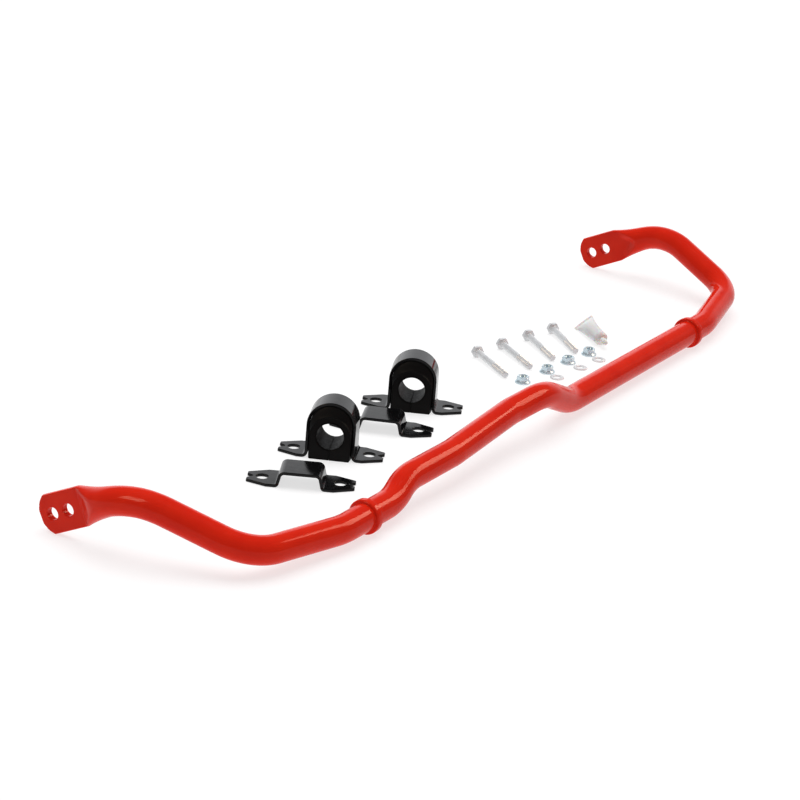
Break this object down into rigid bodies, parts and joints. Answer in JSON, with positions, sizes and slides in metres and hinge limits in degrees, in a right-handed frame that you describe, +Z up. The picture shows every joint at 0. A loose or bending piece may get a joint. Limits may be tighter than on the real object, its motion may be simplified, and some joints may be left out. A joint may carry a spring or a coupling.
{
  "type": "sway bar",
  "caption": "Car anti-roll bar with flattened drilled ends and locating collars, laid out with its bushes, saddles, straps, bolts, nuts, washers and a grease tube.",
  "frame": {"origin": "centre of the laid-out kit's box, on the surface that it rests on", "axes": "+X along the bar's bush seats towards the end with the fasteners, +Y from the bar's middle towards the ends of its arms, +Z up"},
  "size_m": [1.1406, 0.2647, 0.0737],
  "materials": {
    "red_powder_coat": "glossy red powder coat",
    "black_paint": "gloss black paint on pressed steel",
    "bush_polymer": "matt black moulded polyurethane",
    "bolt_zinc": "bright zinc plate",
    "nut_zinc": "blue-passivated zinc plate",
    "washer_zinc": "dull zinc plate",
    "tube_plastic": "soft translucent white plastic",
    "cap_plastic": "translucent white plastic"
  },
  "bodies": {
    "root": {"bar": "red_powder_coat", "collar_left": "red_powder_coat", "collar_right": "red_powder_coat"},
    "saddle_left": {"saddle_left": "black_paint"},
    "bush_left": {"bush_left": "bush_polymer"},
    "strap_left": {"strap_left": "black_paint"},
    "saddle_right": {"saddle_right": "black_paint"},
    "bush_right": {"bush_right": "bush_polymer"},
    "strap_right": {"strap_right": "black_paint"},
    "bolt_1": {"bolt_1": "bolt_zinc"},
    "nut_1": {"nut_1": "nut_zinc"},
    "washer_1": {"washer_1": "washer_zinc"},
    "bolt_2": {"bolt_2": "bolt_zinc"},
    "nut_2": {"nut_2": "nut_zinc"},
    "washer_2": {"washer_2": "washer_zinc"},
    "bolt_3": {"bolt_3": "bolt_zinc"},
    "nut_3": {"nut_3": "nut_zinc"},
    "washer_3": {"washer_3": "washer_zinc"},
    "bolt_4": {"bolt_4": "bolt_zinc"},
    "nut_4": {"nut_4": "nut_zinc"},
    "washer_4": {"washer_4": "washer_zinc"},
    "grease_tube": {"grease_tube": "tube_plastic"},
    "grease_cap": {"grease_cap": "cap_plastic"}
  },
  "joints": [
    {"name": "saddle_left_lift", "type": "slide", "parent": "root", "child": "saddle_left", "axis": [0, 0, 1], "range_m": [0, 0.12]},
    {"name": "bush_left_push_out", "type": "slide", "parent": "saddle_left", "child": "bush_left", "axis": [-0.9085, -0.4179, 0], "range_m": [0, 0.0415]},
    {"name": "strap_left_lift", "type": "slide", "parent": "root", "child": "strap_left", "axis": [0, 0, 1], "range_m": [0, 0.12]},
    {"name": "saddle_right_lift", "type": "slide", "parent": "root", "child": "saddle_right", "axis": [0, 0, 1], "range_m": [0, 0.12]},
    {"name": "bush_right_push_out", "type": "slide", "parent": "saddle_right", "child": "bush_right", "axis": [0.9011, 0.4337, 0], "range_m": [0, 0.0415]},
    {"name": "strap_right_lift", "type": "slide", "parent": "root", "child": "strap_right", "axis": [0, 0, 1], "range_m": [0, 0.12]},
    {"name": "bolt_1_lift", "type": "slide", "parent": "root", "child": "bolt_1", "axis": [0, 0, 1], "range_m": [0, 0.12]},
    {"name": "nut_1_lift", "type": "slide", "parent": "root", "child": "nut_1", "axis": [0, 0, 1], "range_m": [0, 0.12]},
    {"name": "washer_1_lift", "type": "slide", "parent": "root", "child": "washer_1", "axis": [0, 0, 1], "range_m": [0, 0.12]},
    {"name": "bolt_2_lift", "type": "slide", "parent": "root", "child": "bolt_2", "axis": [0, 0, 1], "range_m": [0, 0.12]},
    {"name": "nut_2_lift", "type": "slide", "parent": "root", "child": "nut_2", "axis": [0, 0, 1], "range_m": [0, 0.12]},
    {"name": "washer_2_lift", "type": "slide", "parent": "root", "child": "washer_2", "axis": [0, 0, 1], "range_m": [0, 0.12]},
    {"name": "bolt_3_lift", "type": "slide", "parent": "root", "child": "bolt_3", "axis": [0, 0, 1], "range_m": [0, 0.12]},
    {"name": "nut_3_lift", "type": "slide", "parent": "root", "child": "nut_3", "axis": [0, 0, 1], "range_m": [0, 0.12]},
    {"name": "washer_3_lift", "type": "slide", "parent": "root", "child": "washer_3", "axis": [0, 0, 1], "range_m": [0, 0.12]},
    {"name": "bolt_4_lift", "type": "slide", "parent": "root", "child": "bolt_4", "axis": [0, 0, 1], "range_m": [0, 0.12]},
    {"name": "nut_4_lift", "type": "slide", "parent": "root", "child": "nut_4", "axis": [0, 0, 1], "range_m": [0, 0.12]},
    {"name": "washer_4_lift", "type": "slide", "parent": "root", "child": "washer_4", "axis": [0, 0, 1], "range_m": [0, 0.12]},
    {"name": "grease_tube_lift", "type": "slide", "parent": "root", "child": "grease_tube", "axis": [0, 0, 1], "range_m": [0, 0.12]},
    {"name": "grease_cap_pull_off", "type": "slide", "parent": "grease_tube", "child": "grease_cap", "axis": [-0.6587, -0.7524, 0], "range_m": [0, 0.015]}
  ]
}
